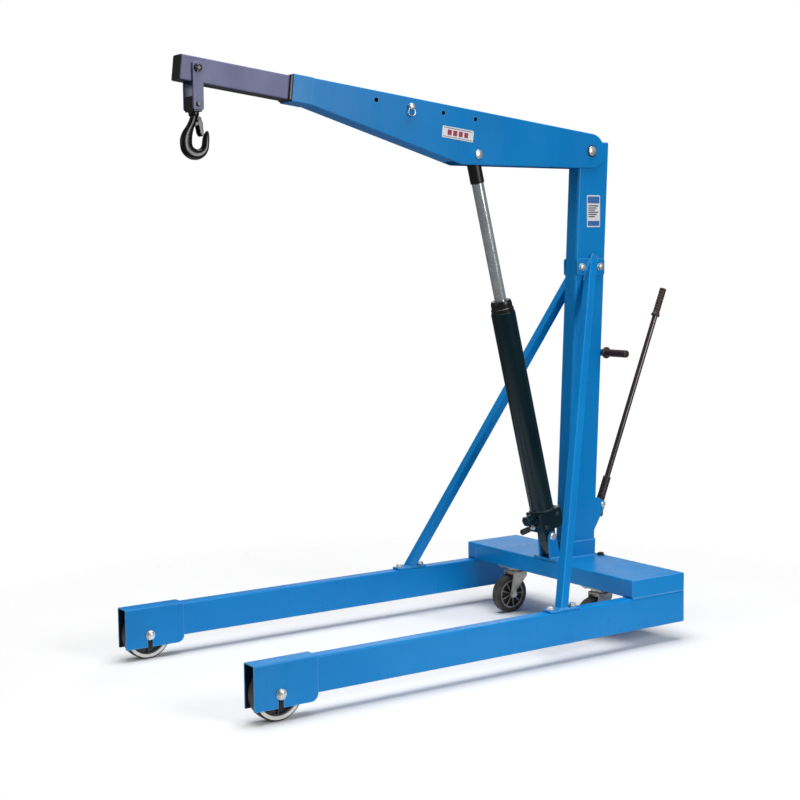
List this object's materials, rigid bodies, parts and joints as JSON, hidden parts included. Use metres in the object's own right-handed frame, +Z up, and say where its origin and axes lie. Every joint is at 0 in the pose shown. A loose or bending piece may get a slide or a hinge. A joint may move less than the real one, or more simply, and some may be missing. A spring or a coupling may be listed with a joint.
{
  "type": "engine hoist crane",
  "caption": "Garage floor crane: leaning mast and braces on a two-legged wheeled base, hydraulic ram with hand pump, boom with pinned sliding extension and swivel hook.",
  "frame": {"origin": "on the floor, under the middle of the bounding box", "axes": "+X to the left hand of a person who stands behind the mast and faces the hook, +Y to the rear, where the push bar is, +Z up; the hook and the leg tips are at -Y"},
  "size_m": [0.8722, 1.8545, 1.7609],
  "materials": {
    "blue_paint": "semi-gloss enamel over welded steel, worn at the edges",
    "zinc_plate": "bright zinc plating, slightly dull",
    "chrome": "hard-chromed and polished, with a film of oil",
    "barrel_paint": "glossy black-green enamel",
    "black_steel": "black oxide and satin black paint",
    "grey_paint": "satin dark grey paint, scraped where it slides",
    "forged_black": "forged steel under glossy black lacquer",
    "grip_rubber": "soft dark rubber, slightly dusty",
    "tyre_grey": "dark grey moulded tyre, scuffed",
    "pale_nylon": "off-white moulded nylon, scuffed on the tread"
  },
  "bodies": {
    "chassis": {"base_box": "blue_paint", "leg_left": "blue_paint", "leg_right": "blue_paint", "tip_housing_left": "blue_paint", "tip_housing_right": "blue_paint", "tip_axle_left": "zinc_plate", "tip_axle_right": "zinc_plate", "caster_plate_left": "zinc_plate", "caster_plate_right": "zinc_plate", "mast": "blue_paint", "mast_foot_collar": "blue_paint", "brace_left": "blue_paint", "brace_right": "blue_paint", "brace_bolt_front": "zinc_plate", "brace_bolt_rear": "zinc_plate", "brace_foot_bolt_left_front": "zinc_plate", "brace_foot_bolt_left_rear": "zinc_plate", "brace_foot_bolt_right_front": "zinc_plate", "brace_foot_bolt_right_rear": "zinc_plate", "ram_bracket": "blue_paint", "ram_lower_pin": "zinc_plate", "lever_bracket": "blue_paint", "lever_pivot_pin": "zinc_plate", "push_bar": "blue_paint", "push_grip_left": "grip_rubber", "push_grip_right": "grip_rubber", "boom_pivot_pin": "zinc_plate"},
    "boom": {"boom": "blue_paint", "boom_mouth_guide": "black_steel", "ram_upper_pin_left": "zinc_plate", "ram_upper_pin_right": "zinc_plate"},
    "extension": {"extension": "grey_paint", "hanger_bolt": "black_steel"},
    "lock_pin": {"lock_pin": "zinc_plate", "lock_pin_ring": "zinc_plate"},
    "hanger": {"hanger_plate_left": "grey_paint", "hanger_plate_right": "grey_paint"},
    "crosshead": {"hook_block": "black_steel"},
    "hook": {"hook": "forged_black", "hook_nut": "black_steel"},
    "latch": {"hook_latch": "black_steel"},
    "ram_barrel": {"ram_tube": "barrel_paint", "ram_gland": "black_steel", "pump_block": "barrel_paint"},
    "plunger": {"pump_plunger": "chrome"},
    "valve": {"release_valve": "black_steel"},
    "ram_rod": {"ram_rod": "chrome", "rod_end": "black_steel"},
    "push_rod": {"pump_push_rod": "zinc_plate"},
    "lever": {"lever_socket": "black_steel", "pump_lever": "black_steel", "lever_grip": "grip_rubber"},
    "tip_roller_left": {"tip_roller_left": "pale_nylon"},
    "tip_roller_right": {"tip_roller_right": "pale_nylon"},
    "caster_fork_left": {"caster_fork_left": "zinc_plate", "caster_axle_left": "zinc_plate"},
    "caster_fork_right": {"caster_fork_right": "zinc_plate", "caster_axle_right": "zinc_plate"},
    "caster_wheel_left": {"caster_wheel_left": "tyre_grey"},
    "caster_wheel_right": {"caster_wheel_right": "tyre_grey"}
  },
  "joints": [
    {"name": "boom_lift", "type": "hinge", "parent": "chassis", "child": "boom", "pos_m": [0, 0.5655, 1.5408], "axis": [-1, 0, 0], "range_deg": [-40, 10]},
    {"name": "extension_slide", "type": "slide", "parent": "boom", "child": "extension", "axis": [0, -0.9934, 0.1146], "range_m": [-0.244, 0.122]},
    {"name": "lock_pin_pull", "type": "slide", "parent": "boom", "child": "lock_pin", "axis": [1, 0, 0], "range_m": [0, 0.085]},
    {"name": "hanger_swing", "type": "hinge", "parent": "extension", "child": "hanger", "pos_m": [0, -0.8472, 1.725], "axis": [1, 0, 0], "range_deg": [-50, 35]},
    {"name": "hook_swing", "type": "hinge", "parent": "hanger", "child": "crosshead", "pos_m": [0, -0.8472, 1.628], "axis": [1, 0, 0], "range_deg": [-35, 35]},
    {"name": "hook_swivel", "type": "hinge", "parent": "crosshead", "child": "hook", "pos_m": [0, -0.8472, 1.528], "axis": [0, 0, 1], "continuous": true},
    {"name": "hook_latch", "type": "hinge", "parent": "hook", "child": "latch", "pos_m": [0, -0.8362, 1.589], "axis": [-1, 0, 0], "range_deg": [0, 30], "stiffness_Nm_per_rad": 0.05, "springref_deg": -11.46},
    {"name": "ram_tilt", "type": "hinge", "parent": "chassis", "child": "ram_barrel", "pos_m": [0, 0.4013, 0.2945], "axis": [1, 0, 0], "range_deg": [-2, 1]},
    {"name": "ram_stroke", "type": "slide", "parent": "ram_barrel", "child": "ram_rod", "axis": [0, -0.235, 0.972], "range_m": [-0.31, 0.08]},
    {"name": "pump_plunger_slide", "type": "slide", "parent": "ram_barrel", "child": "plunger", "axis": [0, -1, 0], "range_m": [-0.009, 0.0245]},
    {"name": "release_valve_turn", "type": "hinge", "parent": "ram_barrel", "child": "valve", "pos_m": [0, 0.39096, 0.33727], "axis": [0, -0.972, -0.235], "range_deg": [0, 270]},
    {"name": "pump_lever_swing", "type": "hinge", "parent": "chassis", "child": "lever", "pos_m": [0, 0.6278, 0.3765], "axis": [-1, 0, 0], "range_deg": [-15, 45]},
    {"name": "push_rod_slide", "type": "slide", "parent": "chassis", "child": "push_rod", "axis": [0, -1, 0], "range_m": [-0.009, 0.0245]},
    {"name": "tip_roller_left", "type": "hinge", "parent": "chassis", "child": "tip_roller_left", "pos_m": [0.396, -0.8482, 0.075], "axis": [1, 0, 0], "continuous": true},
    {"name": "caster_swivel_left", "type": "hinge", "parent": "chassis", "child": "caster_fork_left", "pos_m": [0.215, 0.4438, 0.14], "axis": [0, 0, 1], "continuous": true},
    {"name": "caster_wheel_left", "type": "hinge", "parent": "caster_fork_left", "child": "caster_wheel_left", "pos_m": [0.215, 0.4138, 0.0625], "axis": [1, 0, 0], "continuous": true},
    {"name": "tip_roller_right", "type": "hinge", "parent": "chassis", "child": "tip_roller_right", "pos_m": [-0.396, -0.8482, 0.075], "axis": [1, 0, 0], "continuous": true},
    {"name": "caster_swivel_right", "type": "hinge", "parent": "chassis", "child": "caster_fork_right", "pos_m": [-0.215, 0.4438, 0.14], "axis": [0, 0, 1], "continuous": true},
    {"name": "caster_wheel_right", "type": "hinge", "parent": "caster_fork_right", "child": "caster_wheel_right", "pos_m": [-0.215, 0.4138, 0.0625], "axis": [1, 0, 0], "continuous": true}
  ],
  "couplings": [
    {"joint": "ram_tilt", "follows": "boom_lift", "ratio": 0.045},
    {"joint": "ram_stroke", "follows": "boom_lift", "m_per_rad": 0.4412},
    {"joint": "push_rod_slide", "follows": "pump_lever_swing", "m_per_rad": 0.03},
    {"joint": "pump_plunger_slide", "follows": "pump_lever_swing", "m_per_rad": 0.03}
  ]
}
